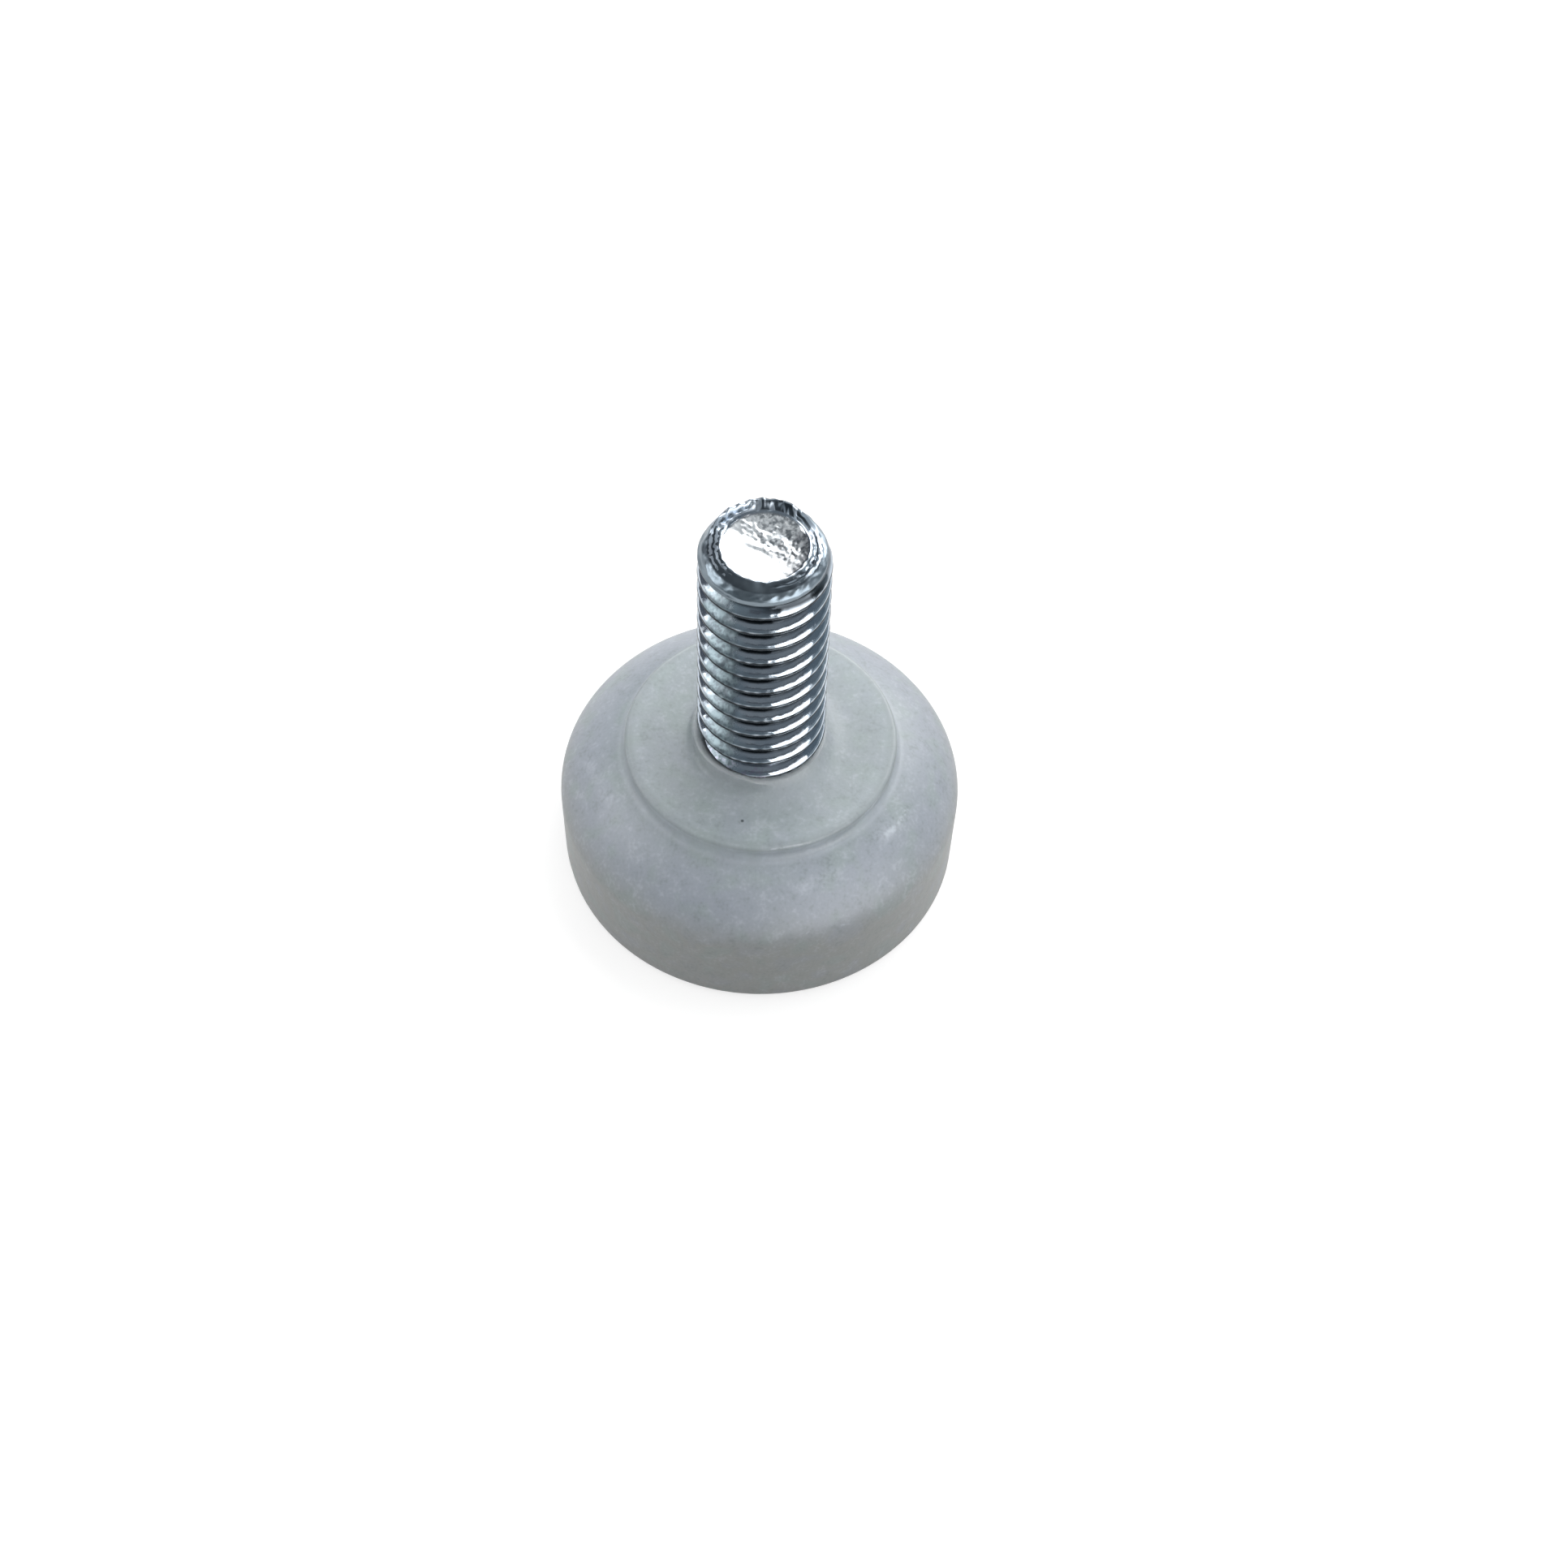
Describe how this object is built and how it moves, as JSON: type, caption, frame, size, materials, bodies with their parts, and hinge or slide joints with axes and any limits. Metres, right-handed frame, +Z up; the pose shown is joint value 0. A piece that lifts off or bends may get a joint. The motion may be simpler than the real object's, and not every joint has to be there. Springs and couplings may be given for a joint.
{
  "type": "furniture foot with a threaded stud",
  "caption": "Round moulded foot with a domed shoulder, a raised flat boss and an upright threaded stud that screws into the underside of a leg or frame.",
  "frame": {"origin": "centre of the flat underside of the foot, on the axis of the stud", "axes": "+Z up the stud, away from the floor; +X and +Y lie in the underside, and +Y points away from the viewer of the picture"},
  "size_m": [0.025, 0.025, 0.0297],
  "materials": {
    "foot_plastic": "natural milky translucent plastic, satin as moulded",
    "zinc_plated_steel": "bright zinc plate with a bluish cast, rolled thread"
  },
  "bodies": {
    "root": {"foot_body": "foot_plastic", "threaded_stud": "zinc_plated_steel"}
  },
  "joints": []
}
